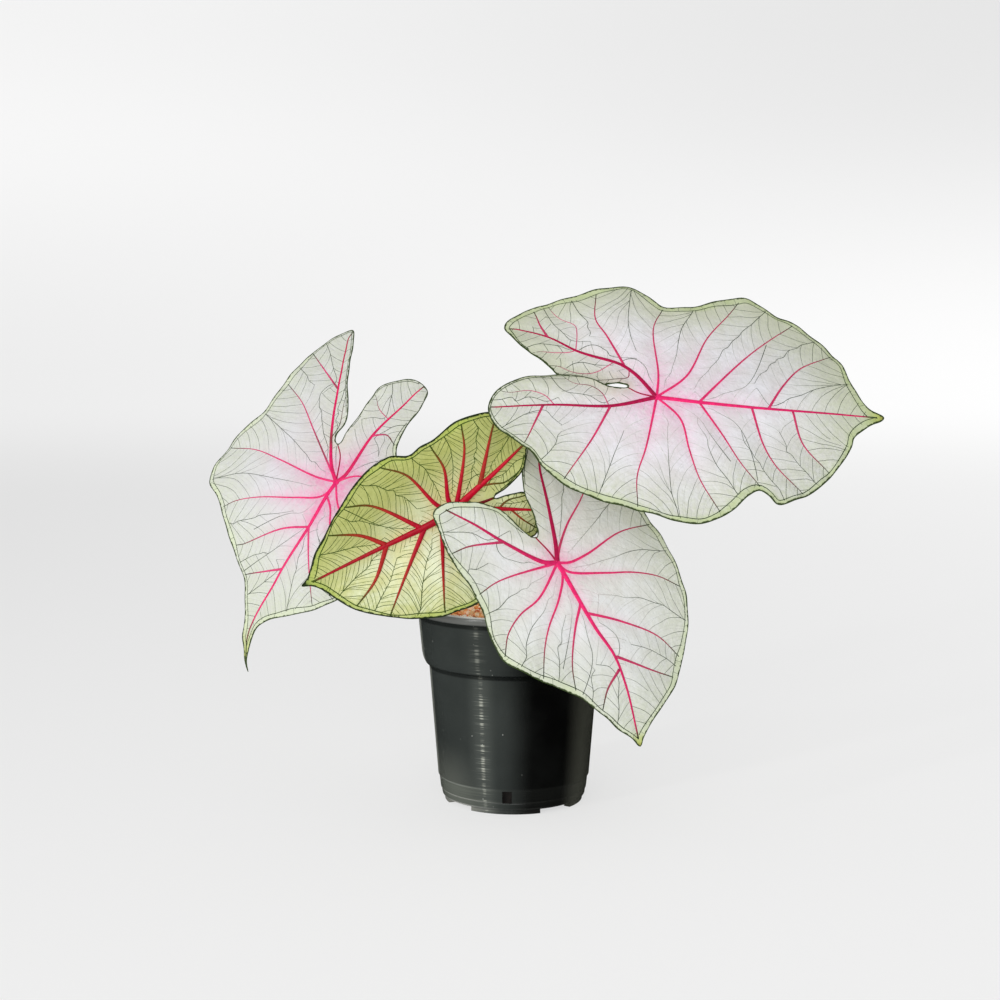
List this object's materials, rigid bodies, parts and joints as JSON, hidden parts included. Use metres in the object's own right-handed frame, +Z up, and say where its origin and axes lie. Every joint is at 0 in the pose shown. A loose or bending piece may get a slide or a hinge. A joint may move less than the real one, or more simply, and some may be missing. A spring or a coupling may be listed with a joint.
{
  "type": "potted caladium",
  "caption": "Caladium with white, pink-veined, heart-shaped leaves on tall stalks, growing from a tuber in a black nursery pot topped with baked-clay grit.",
  "frame": {"origin": "centre of the pot's base, on the plane its feet stand on", "axes": "+Z up, -Y towards the front of the plant, +X to the right as seen from the front"},
  "size_m": [0.4546, 0.2096, 0.35],
  "materials": {
    "pot_plastic": "black moulded polypropylene, satin, lightly scuffed",
    "potting_mix": "dark crumbly bark and peat",
    "clay_grit": "orange baked-clay granules, dry and matte",
    "tuber_skin": "brown corky skin",
    "leaf_white": "white leaf with green margin, satin",
    "leaf_green": "yellow-green leaf with dark net, matte underside",
    "leaf_veins": "pink to crimson veins",
    "leaf_ribs": "dark red raised ribs",
    "leaf_stalks": "smooth green-brown stalks"
  },
  "bodies": {
    "root": {"pot": "pot_plastic", "potting_mix": "potting_mix", "clay_grit": "clay_grit", "tuber": "tuber_skin", "leaf_right_blade": "leaf_white", "leaf_right_veins": "leaf_veins", "leaf_right_ribs": "leaf_ribs", "leaf_right_stalk": "leaf_stalks", "leaf_left_blade": "leaf_white", "leaf_left_veins": "leaf_veins", "leaf_left_ribs": "leaf_ribs", "leaf_left_stalk": "leaf_stalks", "leaf_back_blade": "leaf_green", "leaf_back_veins": "leaf_veins", "leaf_back_ribs": "leaf_ribs", "leaf_back_stalk": "leaf_stalks", "leaf_front_blade": "leaf_white", "leaf_front_veins": "leaf_veins", "leaf_front_ribs": "leaf_ribs", "leaf_front_stalk": "leaf_stalks"}
  },
  "joints": []
}
